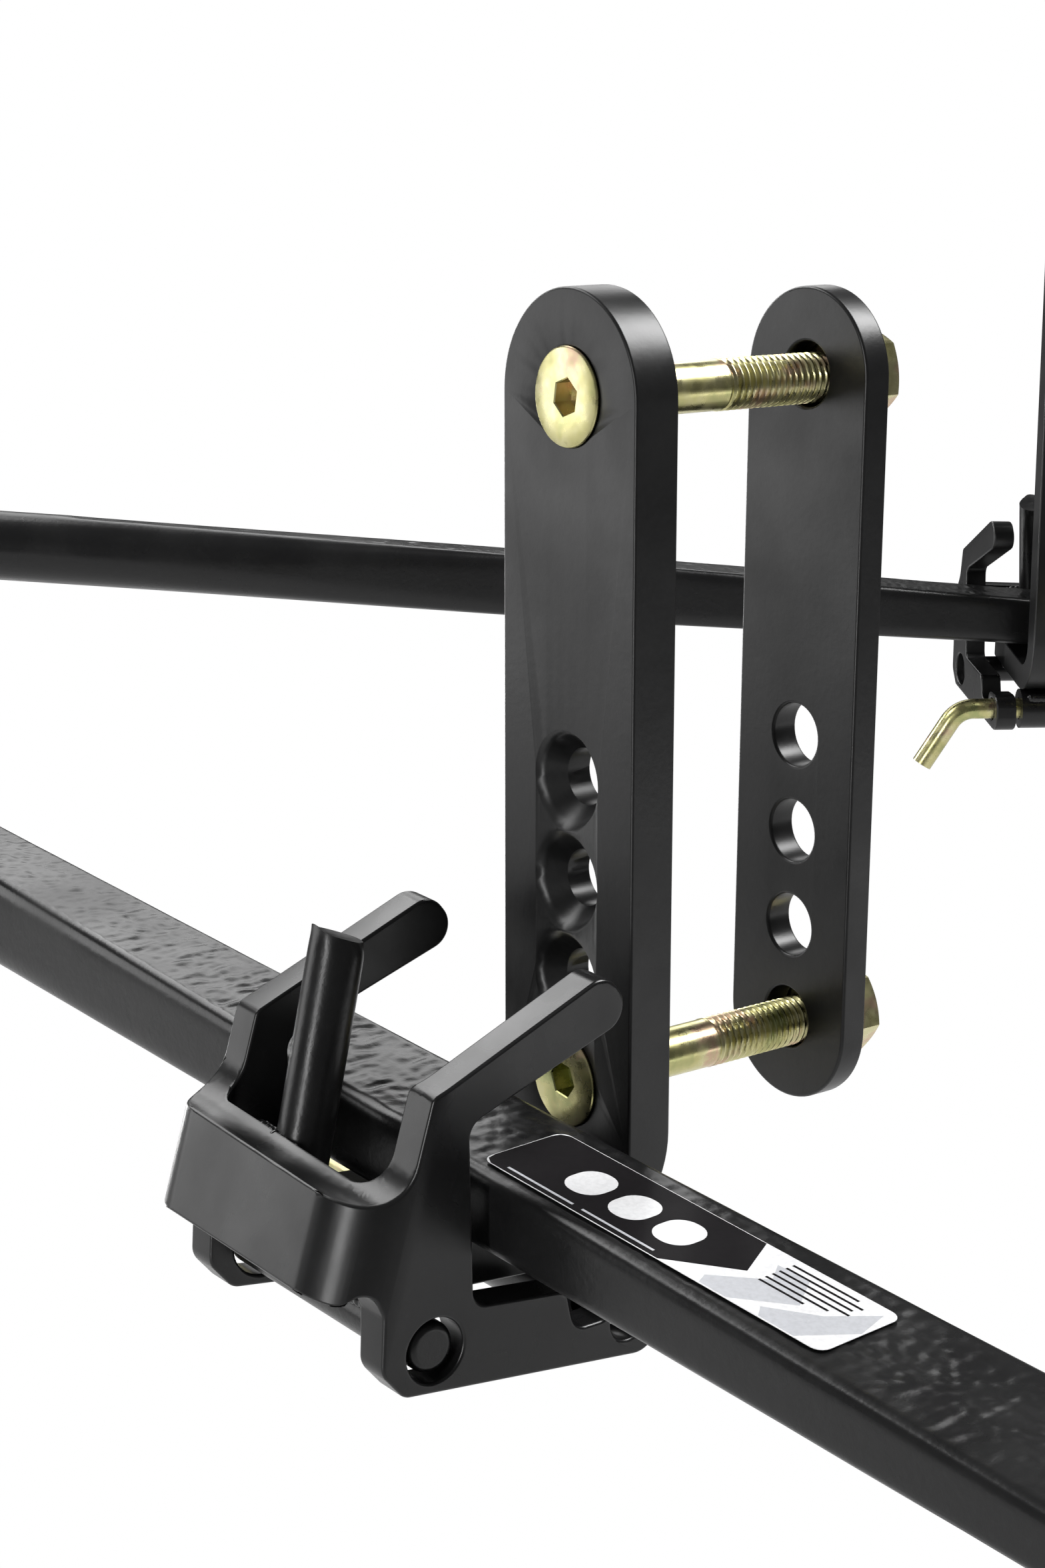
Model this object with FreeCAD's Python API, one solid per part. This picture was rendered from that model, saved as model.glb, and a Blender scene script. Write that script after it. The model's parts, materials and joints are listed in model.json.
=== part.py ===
import FreeCAD, Part
import math
import os

# Weight distribution hitch: a drawbar and ball head, two spring bars that swing in sockets under the
# head, and one lift bracket per bar that clamps to the trailer's frame rail.
# Row frame: +X runs from the tow vehicle back to the trailer, +Z is up, left is -Y.
# The origin is the centre of the hitch pin hole in the drawbar. All sizes are in millimetres.

# ---- layout ----
PIVOT_X = 250.0
PIVOT_Y = 61.7
BAR_ANGLE = 26.7
BAR_FALL = 3.72
FRONT_FALL = 4.59
BAR_REACH = 680.0
BAR_TAIL = 240.0
BRACKET_HEIGHT = 7.0
BRACKET_TURN = {"left": 4.4, "right": -1.8}
SIDES = ("left", "right")

# ---- spring bar ----
BAR_RADIUS = 15.9
BEND_RADIUS = 45.0
ROUND_TO = -470.0
TAPER_FROM = -230.0
BAR_WIDTH = 34.8
WIDTH_GROWTH = 0.0407
BAR_HEIGHT = 22.2
HEIGHT_LOSS = 0.0306
EDGE_RADIUS_FRONT = 4.0
EDGE_RADIUS_TAIL = 3.0
FLAT_EPS = 0.1
LABEL_START = 30.0
LABEL_LENGTH = 106.0
LABEL_WIDTH = 25.0
LABEL_SHIFT = -1.9
LABEL_THICK = 0.25
SKIN = 0.05

# ---- bar sockets, washers and retaining clips ----
SOCKET_BOTTOM = -70.0
SOCKET_TOP = -16.0
SOCKET_RADIUS = 23.2
RUNNING_FIT = 0.08
WASHER_THICK = 3.0
STUB_TOP = 8.0
CLIP_HEIGHT = -9.4
CLIP_RADIUS = 3.0
CLIP_REACH = 22.5
CLIP_FIT = 0.05
CLIP_TURN = 70.0

# ---- hanger plate, the main plate of each bracket ----
PLATE_WIDTH = 50.8
PLATE_THICK = 12.7
HOLE_RADIUS = 7.1
SINK_RADIUS = 12.35
SINK_ANGLE = 41.0
FIRST_HOLE = 91.9
HOLE_PITCH = 25.4
HOLE_COUNT = 4
SHELF_SLOPE = 5.0
SHELF_CONTACT_Y = -47.0
SHELF_CONTACT_Z = -188.8
SHELF_END = -69.0
INNER_BEND = 11.6
OUTER_BEND = 27.0

# ---- backing plate, bolts and nuts ----
CLAMP_REACH = 73.9
BACKING_WIDTH = 43.3
BACKING_THICK = 7.9
BACKING_HOLE = 8.2
BACKING_LEAN = 0.6
BACKING_RAISE = 1.0
BOLT_RADIUS = 6.35
SHANK_RADIUS = 6.2
HEAD_RADIUS = 11.9
HEAD_PROUD = 0.8
HEX_SOCKET = 7.94
SOCKET_DEPTH = 5.0
THREAD_START = 45.0
NUT_FIT = 0.07
NUT_FLATS = 22.2
NUT_HEIGHT = 14.0
BOLT_END = 97.5

# ---- lift yoke ----
YOKE_RIGHT = 41.2
YOKE_LEFT = 44.5
YOKE_TOE_IN = 0.07
YOKE_THICK = 9.5
YOKE_BEND_RIGHT = 18.0
YOKE_BEND_LEFT = 13.0
BAND_TOP = {"left": 2.0, "right": -1.8}
BAND_BOTTOM = {"left": -23.6, "right": -24.6}
EAR_GROWTH = {"left": (2.4, 3.0), "right": (0.6, 0.9)}
MOUTH_WIDENING = {"left": 2.4, "right": 0.9}
YOKE_TILT = 16.5
YOKE_FACE = (-88.0, -167.0)
ROD_RADIUS = 6.1
ROD_Y = -68.1
ROD_Z = -206.0
ROD_HOLE = 7.75
ROD_HALF = 39.7
POST_RADIUS = 6.8
POST_FOOT = -24.0
POST_TOP = 52.0
POST_SHIFT = -6.8
POST_LEAN = 5.8

# ---- lock pin and its tube ----
TUBE_RADIUS = 9.3
PIN_Y = -12.4
PIN_Z = -213.7
PIN_RADIUS = 4.75
PIN_HOLE = 5.2
PIN_TIP = 37.0
PIN_BEND_AT = -47.0
PIN_BEND_RADIUS = 13.0
PIN_BEND_ANGLE = 58.0
PIN_HANDLE = 24.0
PIN_DRAWN = {"left": 65.5, "right": 0.0}

# ---- drawbar and ball head ----
SHANK_HALF = 25.4
SHANK_FRONT = -42.0
SHANK_REAR = 178.0
HITCH_PIN_RADIUS = 8.2
UPRIGHT_REAR = 222.0
UPRIGHT_BOTTOM = -92.0
UPRIGHT_TOP = 92.0
UPRIGHT_HOLE = 9.8
UPRIGHT_PITCH = 32.0
GUSSET = 34.0
GUSSET_THICK = 16.0
HEAD_BOLT_X = 200.0
HEAD_BOLT_Z = 32.0
HEAD_BOLT_RADIUS = 9.5
HEAD_BOLT_FLATS = 28.6
CHEEK_GAP = 0.3
CHEEK_THICK = 12.7
BALL_X = 288.0
BALL_RADIUS = 29.35
BALL_SHANK = 15.8
PLATFORM_Z = 62.0
PLATFORM_THICK = 19.0
TILT_Z = -32.0
TILT_PIN_RADIUS = 8.0

V = FreeCAD.Vector
X_AXIS = V(1, 0, 0)
Y_AXIS = V(0, 1, 0)
Z_AXIS = V(0, 0, 1)
ORIGIN = V(0, 0, 0)


# ---- general helpers ----
def save(shape, name):
    if not shape.isValid():
        raise RuntimeError(name + " is not a valid shape")
    shape.exportStep(os.path.join("parts", name + ".step"))
    print(name, len(shape.Solids), "solids", round(shape.Volume / 1000.0, 2), "cm3")


def one_solid(shape):
    """Merges coplanar faces and takes the single solid out of its compound."""
    clean = shape.removeSplitter()
    return clean.Solids[0] if len(clean.Solids) == 1 else clean


def group(solids):
    return Part.Compound([solid for shape in solids for solid in shape.Solids])


def rounded_face(points, to_space):
    """A flat face from (a, b, corner radius) points; to_space turns (a, b) into a 3-D point."""
    count = len(points)
    edges = []
    ends = []
    for i, (a, b, radius) in enumerate(points):
        here = V(a, b, 0)
        before = V(*points[i - 1][:2], 0) - here
        after = V(*points[(i + 1) % count][:2], 0) - here
        if radius <= 0:
            ends.append((here, here, None))
            continue
        half = before.getAngle(after) / 2.0
        reach = radius / math.tan(half)
        before.normalize()
        after.normalize()
        middle = before + after
        middle.normalize()
        start = here + before * reach
        finish = here + after * reach
        crown = here + middle * (radius / math.sin(half) - radius)
        ends.append((start, finish, crown))
    for i, (start, finish, crown) in enumerate(ends):
        if crown is not None:
            arc = Part.Arc(*[to_space(p.x, p.y) for p in (start, crown, finish)])
            edges.append(arc.toShape())
        following = ends[(i + 1) % count][0]
        if (following - finish).Length > 1e-6:
            edges.append(Part.makeLine(to_space(finish.x, finish.y), to_space(following.x, following.y)))
    return Part.Face(Part.Wire(edges))


def side_outline(points, half_width):
    """Extrudes an outline drawn in the bracket's (y, z) plane along X, both ways."""
    face = rounded_face(points, lambda a, b: V(-half_width, a, b))
    return face.extrude(V(2 * half_width, 0, 0))


def rod(start, finish, radius):
    axis = finish - start
    return Part.makeCylinder(radius, axis.Length, start, axis)


def tube(start, finish, outer, inner):
    return rod(start, finish, outer).cut(rod(start, finish, inner))


def hex_prism(flats, start, axis, height, turn=0.0):
    corner = flats / math.sqrt(3.0)
    points = [V(corner * math.cos(k * math.pi / 3), corner * math.sin(k * math.pi / 3), 0) for k in range(6)]
    prism = Part.Face(Part.makePolygon(points + points[:1])).extrude(V(0, 0, height))
    prism.rotate(ORIGIN, Z_AXIS, turn)
    prism.Placement = FreeCAD.Placement(start, FreeCAD.Rotation(Z_AXIS, axis)).multiply(prism.Placement)
    return prism


def chamfered_hex(flats, start, axis, height, turn=0.0):
    """A hexagon whose outer end has its corners turned off, as on a nut or a bolt head."""
    body = hex_prism(flats, start, axis, height, turn)
    corner = flats / math.sqrt(3.0)
    drop = (corner - flats / 2.0) * math.tan(math.radians(30.0))
    full = Part.makeCylinder(corner + 0.1, height - drop, start, axis)
    top = Part.makeCone(corner + 0.1, flats / 2.0, drop, start + axis * (height - drop), axis)
    return body.common(full.fuse(top))


def on_side(shape, side):
    """Shapes are drawn for the left, at -Y, and the right is their mirror image."""
    return shape.mirror(ORIGIN, Y_AXIS) if side == "right" else shape


# ---- spring bar geometry, left side ----
HEADING = V(math.cos(math.radians(BAR_ANGLE)), -math.sin(math.radians(BAR_ANGLE)), 0)
FALL = math.radians(BAR_FALL)
ALONG = HEADING * math.cos(FALL) - Z_AXIS * math.sin(FALL)
INWARD = Z_AXIS.cross(HEADING)
UPWARD = ALONG.cross(INWARD)
PIVOT = V(PIVOT_X, -PIVOT_Y, 0)
BAR_DROP = -186.5
BAR_OFFSET = -36.9
UNDERSIDE = PIVOT + HEADING * BAR_REACH + Z_AXIS * (BRACKET_HEIGHT + BAR_DROP)
FRONT = math.radians(FRONT_FALL)
FRONT_ALONG = HEADING * math.cos(FRONT) - Z_AXIS * math.sin(FRONT)
FRONT_UP = FRONT_ALONG.cross(INWARD)
FRONT_BASE = UNDERSIDE + ALONG * TAPER_FROM


def bar_width(s):
    return BAR_WIDTH + WIDTH_GROWTH * s


def bar_height(s):
    return BAR_HEIGHT - HEIGHT_LOSS * s


def flat_section(s, radius):
    """The bar's outline at s along its underside, measured from the bracket."""
    half = bar_width(s) / 2.0
    height = bar_height(s)
    base = UNDERSIDE + ALONG * s
    corners = [(-half, 0, radius), (half, 0, radius), (half, height, radius), (-half, height, radius)]
    return rounded_face(corners, lambda a, b: base + INWARD * a + UPWARD * b).OuterWire


def front_point(s, across, up):
    """A point on the bar's front length, which falls a little more steeply than the flat length."""
    return FRONT_BASE + FRONT_ALONG * (s - TAPER_FROM) + INWARD * across + FRONT_UP * up


def round_section(s):
    """A circle drawn as a square with full corners, so that it blends into the flat section."""
    reach = BAR_RADIUS
    radius = BAR_RADIUS - FLAT_EPS
    corners = [(-reach, 0, radius), (reach, 0, radius), (reach, 2 * reach, radius), (-reach, 2 * reach, radius)]
    return rounded_face(corners, lambda a, b: front_point(s, a, b)).OuterWire


def bar_elbow():
    """The round stub that stands in the socket, and the bend that joins it to the bar."""
    fall = math.radians(FRONT_FALL)
    axis_point = front_point(TAPER_FROM, 0, BAR_RADIUS)
    ahead = (axis_point - PIVOT).dot(HEADING)
    axis_height = axis_point.z + ahead * math.tan(fall)
    bend_z = axis_height - BEND_RADIUS * math.tan(fall) + BEND_RADIUS / math.cos(fall)
    centre = PIVOT + HEADING * BEND_RADIUS + Z_AXIS * bend_z
    stub_foot = PIVOT + Z_AXIS * bend_z
    stub = rod(stub_foot, PIVOT + Z_AXIS * STUB_TOP, BAR_RADIUS)
    stub = stub.makeChamfer(1.5, [stub.Edges[0]])
    ring = Part.Face(Part.Wire(Part.makeCircle(BAR_RADIUS, stub_foot, Z_AXIS)))
    bend = ring.revolve(centre, INWARD, -(90.0 - FRONT_FALL))
    foot = centre - FRONT_UP * BEND_RADIUS
    return stub.fuse(bend), foot


def spring_bar():
    elbow, foot = bar_elbow()
    round_start = TAPER_FROM + (foot - FRONT_BASE).dot(FRONT_ALONG)
    round_end = round_section(ROUND_TO)
    taper = flat_section(TAPER_FROM, EDGE_RADIUS_FRONT)
    tail = flat_section(BAR_TAIL, EDGE_RADIUS_TAIL)
    body = elbow
    for pair in ([round_section(round_start), round_end], [round_end, taper], [taper, tail]):
        body = body.fuse(Part.makeLoft(pair, True, True))
    clip_hole = rod(*clip_axis(BAR_RADIUS + 5.0), CLIP_RADIUS + CLIP_FIT)
    return one_solid(body.cut(clip_hole))


def bar_label():
    """A thin sticker on the bar's top face, just behind the bracket."""
    def corner(s, across, lift):
        return UNDERSIDE + ALONG * s + INWARD * across + UPWARD * (bar_height(s) + lift)

    start = LABEL_START
    finish = LABEL_START + LABEL_LENGTH
    half = LABEL_WIDTH / 2.0
    centre = corner((start + finish) / 2.0, LABEL_SHIFT, SKIN)
    along = corner(finish, 0, 0) - corner(start, 0, 0)
    along.normalize()
    points = [(-LABEL_LENGTH / 2, -half, 3), (LABEL_LENGTH / 2, -half, 3),
              (LABEL_LENGTH / 2, half, 3), (-LABEL_LENGTH / 2, half, 3)]
    face = rounded_face(points, lambda a, b: centre + along * a + INWARD * b)
    return face.extrude(along.cross(INWARD) * LABEL_THICK)


def thrust_washer():
    low = PIVOT + Z_AXIS * (SOCKET_TOP + SKIN)
    return tube(low, low + Z_AXIS * WASHER_THICK, SOCKET_RADIUS - 1.5, BAR_RADIUS + 0.4)


def clip_axis(reach):
    direction = V(math.cos(math.radians(CLIP_TURN)), -math.sin(math.radians(CLIP_TURN)), 0)
    middle = PIVOT + Z_AXIS * CLIP_HEIGHT
    return middle - direction * reach, middle + direction * reach


def bar_clip():
    """A round pin with a wire ring, which keeps the bar's stub in its socket."""
    start, finish = clip_axis(CLIP_REACH)
    out = (finish - start).normalize()
    head = rod(finish, finish + out * 7.0, 5.5)
    pin = rod(start, finish, CLIP_RADIUS).fuse(head)
    eye = finish + out * 3.5
    across = Z_AXIS.cross(out)
    ring_radius = 11.0
    hole = rod(eye - across * 8.0, eye + across * 8.0, 1.4)
    ring = Part.makeTorus(ring_radius, 1.2, eye - Z_AXIS * (ring_radius - 0.15), out)
    return group([one_solid(pin.cut(hole)), ring.rotated(eye, across, 0)])


# ---- bracket geometry, drawn about the top clamp bolt ----
# X runs along the plate's width towards the trailer, y = 0 is the plate's bar side, +y is the rail side.
def place_bracket(shape, side):
    turn = BAR_ANGLE + BRACKET_TURN[side]
    y_axis = V(math.sin(math.radians(turn)), math.cos(math.radians(turn)), 0)
    corner = PIVOT + HEADING * BAR_REACH - y_axis * BAR_OFFSET + Z_AXIS * BRACKET_HEIGHT
    moved = shape.copy()
    moved.Placement = FreeCAD.Placement(corner, FreeCAD.Rotation(Z_AXIS, -turn)).multiply(shape.Placement)
    return on_side(moved, side)


def hole_heights():
    return [-(FIRST_HOLE + k * HOLE_PITCH) for k in range(HOLE_COUNT)]


def bolt_heights():
    return [0.0, hole_heights()[-1]]


def shelf_top(y):
    return SHELF_CONTACT_Z - (y - SHELF_CONTACT_Y) * math.tan(math.radians(SHELF_SLOPE))


def hanger_plate():
    """A flat bar with a round top, bent at its foot into the shelf that the spring bar rests on."""
    drop = PLATE_THICK / math.cos(math.radians(SHELF_SLOPE))
    half = PLATE_WIDTH / 2.0
    end_shift = PLATE_THICK * math.sin(math.radians(SHELF_SLOPE))
    end_low = SHELF_END - end_shift
    points = [
        (0, half + 5, 0), (0, shelf_top(0), INNER_BEND), (SHELF_END, shelf_top(SHELF_END), 1.5),
        (end_low, shelf_top(end_low) - drop, 1.5), (PLATE_THICK, shelf_top(PLATE_THICK) - drop, OUTER_BEND),
        (PLATE_THICK, half + 5, 0),
    ]
    body = side_outline(points, half)
    keep = Part.makeBox(PLATE_WIDTH, 200, 300, V(-half, -150, -300))
    keep = keep.fuse(Part.makeCylinder(half, 200, V(0, -150, 0), Y_AXIS))
    body = body.common(keep)
    sink_depth = (SINK_RADIUS - HOLE_RADIUS) / math.tan(math.radians(SINK_ANGLE))
    for z in [0.0] + hole_heights():
        body = body.cut(rod(V(0, -1, z), V(0, PLATE_THICK + 1, z), HOLE_RADIUS))
        body = body.cut(Part.makeCone(SINK_RADIUS, HOLE_RADIUS, sink_depth, V(0, 0, z), Y_AXIS))
    return one_solid(body)


def backing_plate():
    """A plain flat bar with round ends and five plain holes."""
    half = BACKING_WIDTH / 2.0
    low = hole_heights()[-1]
    body = Part.makeBox(BACKING_WIDTH, BACKING_THICK, -low, V(-half, CLAMP_REACH, low))
    for z in (0.0, low):
        body = body.fuse(Part.makeCylinder(half, BACKING_THICK, V(0, CLAMP_REACH, z), Y_AXIS))
    for z in [0.0] + hole_heights():
        body = body.cut(Part.makeCylinder(BACKING_HOLE, BACKING_THICK, V(0, CLAMP_REACH, z), Y_AXIS))
    body = one_solid(body)
    body.rotate(V(0, 0, low / 2.0), Y_AXIS, BACKING_LEAN)
    body.translate(V(0, 0, BACKING_RAISE))
    return body


def clamp_bolt(z):
    """A flat-head bolt with a hexagon socket; its thread is a plain cylinder of the outside diameter."""
    face = V(0, -HEAD_PROUD, z)
    cone = (HEAD_RADIUS - SHANK_RADIUS) / math.tan(math.radians(SINK_ANGLE))
    head = Part.makeCylinder(HEAD_RADIUS, HEAD_PROUD, face, Y_AXIS)
    head = head.fuse(Part.makeCone(HEAD_RADIUS, SHANK_RADIUS, cone, V(0, 0, z), Y_AXIS))
    shank = rod(V(0, 0, z), V(0, THREAD_START, z), SHANK_RADIUS)
    thread = rod(V(0, THREAD_START, z), V(0, BOLT_END, z), BOLT_RADIUS)
    thread = thread.makeChamfer(1.0, [edge for edge in thread.Edges if edge.BoundBox.YMin > BOLT_END - 0.1])
    body = head.fuse(shank).fuse(thread)
    return one_solid(body.cut(hex_prism(HEX_SOCKET, face, Y_AXIS, SOCKET_DEPTH, 12.0 + z)))


def clamp_nut(z):
    start = V(0, CLAMP_REACH + BACKING_THICK + SKIN, z)
    nut = chamfered_hex(NUT_FLATS, start, Y_AXIS, NUT_HEIGHT, 20.0 - z)
    return one_solid(nut.cut(rod(start, start + Y_AXIS * NUT_HEIGHT, BOLT_RADIUS + NUT_FIT)))


def hinge_rod():
    body = rod(V(-ROD_HALF, ROD_Y, ROD_Z), V(ROD_HALF, ROD_Y, ROD_Z), ROD_RADIUS)
    return body.makeFillet(2.0, [edge for edge in body.Edges if edge.BoundBox.XLength < 0.1])


def lock_pin_tube():
    half = PLATE_WIDTH / 2.0
    return tube(V(-half, PIN_Y, PIN_Z), V(half, PIN_Y, PIN_Z), TUBE_RADIUS, PIN_HOLE)


def lock_pin(drawn):
    """A straight pin whose end is bent down as a handle; drawn is how far it is pulled out."""
    tip = V(PIN_TIP - drawn, PIN_Y, PIN_Z)
    bend_start = V(PIN_BEND_AT - drawn, PIN_Y, PIN_Z)
    shaft = rod(bend_start, tip, PIN_RADIUS)
    shaft = shaft.makeChamfer(1.0, [edge for edge in shaft.Edges if edge.BoundBox.XMin > tip.x - 0.1])
    ring = Part.Face(Part.Wire(Part.makeCircle(PIN_RADIUS, bend_start, X_AXIS)))
    centre = bend_start - Z_AXIS * PIN_BEND_RADIUS
    bend = ring.revolve(centre, Y_AXIS, -PIN_BEND_ANGLE)
    angle = math.radians(PIN_BEND_ANGLE)
    down = V(-math.cos(angle), 0, -math.sin(angle))
    bend_end = centre + V(-math.sin(angle), 0, math.cos(angle)) * PIN_BEND_RADIUS
    return one_solid(shaft.fuse(bend).fuse(rod(bend_end, bend_end + down * PIN_HANDLE, PIN_RADIUS)))


# ---- yoke: a U bent from one plate, drawn as a channel trimmed by its side outline ----
def band_point(x, depth, rise):
    """A point given by its depth behind the band's front face and its rise along the band."""
    tilt = math.radians(YOKE_TILT)
    y = YOKE_FACE[0] + depth * math.cos(tilt) + rise * math.sin(tilt)
    z = YOKE_FACE[1] - depth * math.sin(tilt) + rise * math.cos(tilt)
    return V(x, y, z)


def band_yz(depth, rise, radius):
    point = band_point(0, depth, rise)
    return (point.y, point.z, radius)


def yoke_outline(end):
    """The arm, its ear, the mouth round the bar, the toe with the pin hole, and the band's edge."""
    top = BAND_TOP[end]
    bottom = BAND_BOTTOM[end]
    grow_y, grow_z = EAR_GROWTH[end]
    mouth = MOUTH_WIDENING[end]
    return [
        band_yz(0, top, 0.8), band_yz(13.5, top, 12.0), (-67.6, -146.2, 3.0),
        (-20.0 + grow_y, -127.1 + grow_z, 6.1), (-11.6 + grow_y, -138.4 + grow_z, 6.1),
        (-57.3 - mouth, -154.6, 5.0), (-56.4 - mouth, -198.2, 4.0), (-30.8, -201.5, 3.0),
        (-28.6, -212.0, 4.5), (-19.0, -212.0, 2.5), (-17.0, -206.0, 3.0), (-3.0, -206.0, 6.0),
        (-2.4, -224.2, 7.0), (-76.6, -215.4, 4.0), (-82.6, -208.2, 5.0), (-81.6, -194.6, 3.5),
        band_yz(9.6, bottom + 5.8, 3.0), band_yz(5.0, bottom, 4.0), band_yz(0, bottom, 0.8),
    ]


def yoke_blank():
    """The side outline run from the left arm to the right one, between which it changes a little."""
    ends = {"left": -YOKE_LEFT - 1, "right": YOKE_RIGHT + 1}
    wires = [rounded_face(yoke_outline(end), lambda a, b: V(x, a, b)).OuterWire for end, x in ends.items()]
    return Part.makeLoft(wires, True, True)


def yoke():
    """A U bent from plate: its left arm toes in, and its two bends have different radii."""
    far = 130.0
    inner_left = -YOKE_LEFT + YOKE_THICK * math.hypot(1.0, YOKE_TOE_IN)
    channel_points = [
        (-YOKE_LEFT, 0, YOKE_BEND_LEFT), (YOKE_RIGHT, 0, YOKE_BEND_RIGHT), (YOKE_RIGHT, far, 0),
        (YOKE_RIGHT - YOKE_THICK, far, 0), (YOKE_RIGHT - YOKE_THICK, YOKE_THICK, YOKE_BEND_RIGHT - YOKE_THICK),
        (inner_left + YOKE_TOE_IN * YOKE_THICK, YOKE_THICK, YOKE_BEND_LEFT - YOKE_THICK),
        (inner_left + YOKE_TOE_IN * far, far, 0), (-YOKE_LEFT + YOKE_TOE_IN * far, far, 0),
    ]
    low = -90.0
    rise = band_point(0, 0, 90.0) - band_point(0, 0, low)
    channel = rounded_face(channel_points, lambda x, depth: band_point(x, depth, low)).extrude(rise)
    body = channel.common(yoke_blank())
    reach = YOKE_LEFT + 1
    body = body.cut(rod(V(-reach, ROD_Y, ROD_Z), V(reach, ROD_Y, ROD_Z), ROD_HOLE))
    return one_solid(body.cut(rod(V(-reach, PIN_Y, PIN_Z), V(reach, PIN_Y, PIN_Z), PIN_HOLE)))


def lever_post():
    """The round post inside the band that takes the lift handle; its top is sheared off at a slant."""
    depth = YOKE_THICK + POST_RADIUS + SKIN
    lean = math.tan(math.radians(POST_LEAN))
    foot = band_point(POST_SHIFT - lean * POST_FOOT, depth, POST_FOOT)
    top = band_point(POST_SHIFT - lean * POST_TOP, depth, POST_TOP)
    body = rod(foot, top, POST_RADIUS)
    up = (top - foot).normalize()
    cutter = Part.makeBox(60, 60, 20, V(-30, -30, 0))
    slant = (up * 5.0 + X_AXIS * 0.8 - Y_AXIS * 0.6).normalize()
    cutter.Placement = FreeCAD.Placement(top - up * 1.6, FreeCAD.Rotation(Z_AXIS, slant))
    return one_solid(body.cut(cutter))


# ---- drawbar and head ----
def drawbar_shank():
    """The square bar that slides into the receiver."""
    half = SHANK_HALF
    body = Part.makeBox(SHANK_REAR - SHANK_FRONT, 2 * half, 2 * half, V(SHANK_FRONT, -half, -half))
    body = body.makeChamfer(4.0, [edge for edge in body.Edges if edge.BoundBox.XLength > 100])
    return one_solid(body.cut(rod(V(0, -half - 1, 0), V(0, half + 1, 0), HITCH_PIN_RADIUS)))


def drawbar_upright():
    """The upright bar whose row of holes sets the height of the head."""
    half = SHANK_HALF
    corner = V(SHANK_REAR, -half, UPRIGHT_BOTTOM)
    body = Part.makeBox(UPRIGHT_REAR - SHANK_REAR, 2 * half, UPRIGHT_TOP - UPRIGHT_BOTTOM, corner)
    body = body.makeFillet(6.0, [edge for edge in body.Edges if edge.BoundBox.YLength > 40])
    for k in range(5):
        z = (k - 2) * UPRIGHT_PITCH
        body = body.cut(rod(V(HEAD_BOLT_X, -half - 1, z), V(HEAD_BOLT_X, half + 1, z), UPRIGHT_HOLE))
    return one_solid(body)


def drawbar_gussets():
    """Two triangular ribs that brace the upright against the shank."""
    points = [(SHANK_REAR - GUSSET, SHANK_HALF, 0), (SHANK_REAR, SHANK_HALF, 0), (SHANK_REAR, SHANK_HALF + GUSSET, 0)]
    half = GUSSET_THICK / 2.0
    rib = rounded_face(points, lambda a, b: V(a, -half, b)).extrude(V(0, GUSSET_THICK, 0))
    return [rib, rib.mirror(ORIGIN, Z_AXIS)]


def cheek():
    """The left side plate of the head, drilled for the two head bolts."""
    inner = -(SHANK_HALF + CHEEK_GAP)
    top = PLATFORM_Z - SKIN
    points = [(180, -54, 10), (180, top, 10), (334, top, 4), (334, 40, 18), (290, -12, 30),
              (290, -72, 12), (222, -72, 14)]
    body = rounded_face(points, lambda a, b: V(a, inner, b)).extrude(V(0, -CHEEK_THICK, 0))
    for z in (-HEAD_BOLT_Z, HEAD_BOLT_Z):
        body = body.cut(rod(V(HEAD_BOLT_X, inner + 1, z), V(HEAD_BOLT_X, inner - 20, z), UPRIGHT_HOLE))
    return one_solid(body)


def platform():
    points = [(236, -46, 10), (340, -46, 24), (340, 46, 24), (236, 46, 10)]
    body = rounded_face(points, lambda a, b: V(a, b, PLATFORM_Z)).extrude(V(0, 0, PLATFORM_THICK))
    return one_solid(body.cut(rod(V(BALL_X, 0, PLATFORM_Z - 1), V(BALL_X, 0, PLATFORM_Z + 40), BALL_SHANK + 0.2)))


def ball_base():
    return PLATFORM_Z + PLATFORM_THICK + SKIN


def tow_ball():
    """The ball, its neck and flange turned in one piece with the threaded shank below."""
    base = ball_base()
    centre = base + 12.0 + 24.0
    flat = BALL_RADIUS - 2.5
    ball = Part.makeSphere(BALL_RADIUS, V(BALL_X, 0, centre))
    ball = ball.common(Part.makeCylinder(BALL_RADIUS + 1, BALL_RADIUS + flat, V(BALL_X, 0, centre - BALL_RADIUS)))
    neck = rod(V(BALL_X, 0, base + 6), V(BALL_X, 0, centre), 17.5)
    flange = Part.makeCone(25.0, 19.0, 8.0, V(BALL_X, 0, base + 4))
    flange = flange.fuse(rod(V(BALL_X, 0, base), V(BALL_X, 0, base + 4), 25.0))
    shank = rod(V(BALL_X, 0, PLATFORM_Z - 42), V(BALL_X, 0, base), BALL_SHANK)
    return one_solid(ball.fuse(neck).fuse(flange).fuse(shank))


def ball_washer():
    top = PLATFORM_Z - SKIN
    return tube(V(BALL_X, 0, top - 6), V(BALL_X, 0, top), 24.5, BALL_SHANK + 0.3)


def ball_nut():
    top = PLATFORM_Z - 2 * SKIN - 6
    nut = chamfered_hex(47.6, V(BALL_X, 0, top), -Z_AXIS, 27.0, 0.0)
    return one_solid(nut.cut(rod(V(BALL_X, 0, top + 1), V(BALL_X, 0, top - 30), BALL_SHANK + NUT_FIT)))


def bar_socket():
    low = PIVOT + Z_AXIS * SOCKET_BOTTOM
    body = tube(low, PIVOT + Z_AXIS * SOCKET_TOP, SOCKET_RADIUS, BAR_RADIUS + RUNNING_FIT)
    rims = [edge for edge in body.Edges if edge.BoundBox.ZLength < 0.1 and edge.BoundBox.XLength > 40]
    return one_solid(body.makeChamfer(1.5, rims))


def cheek_face():
    return SHANK_HALF + CHEEK_GAP + CHEEK_THICK


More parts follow.
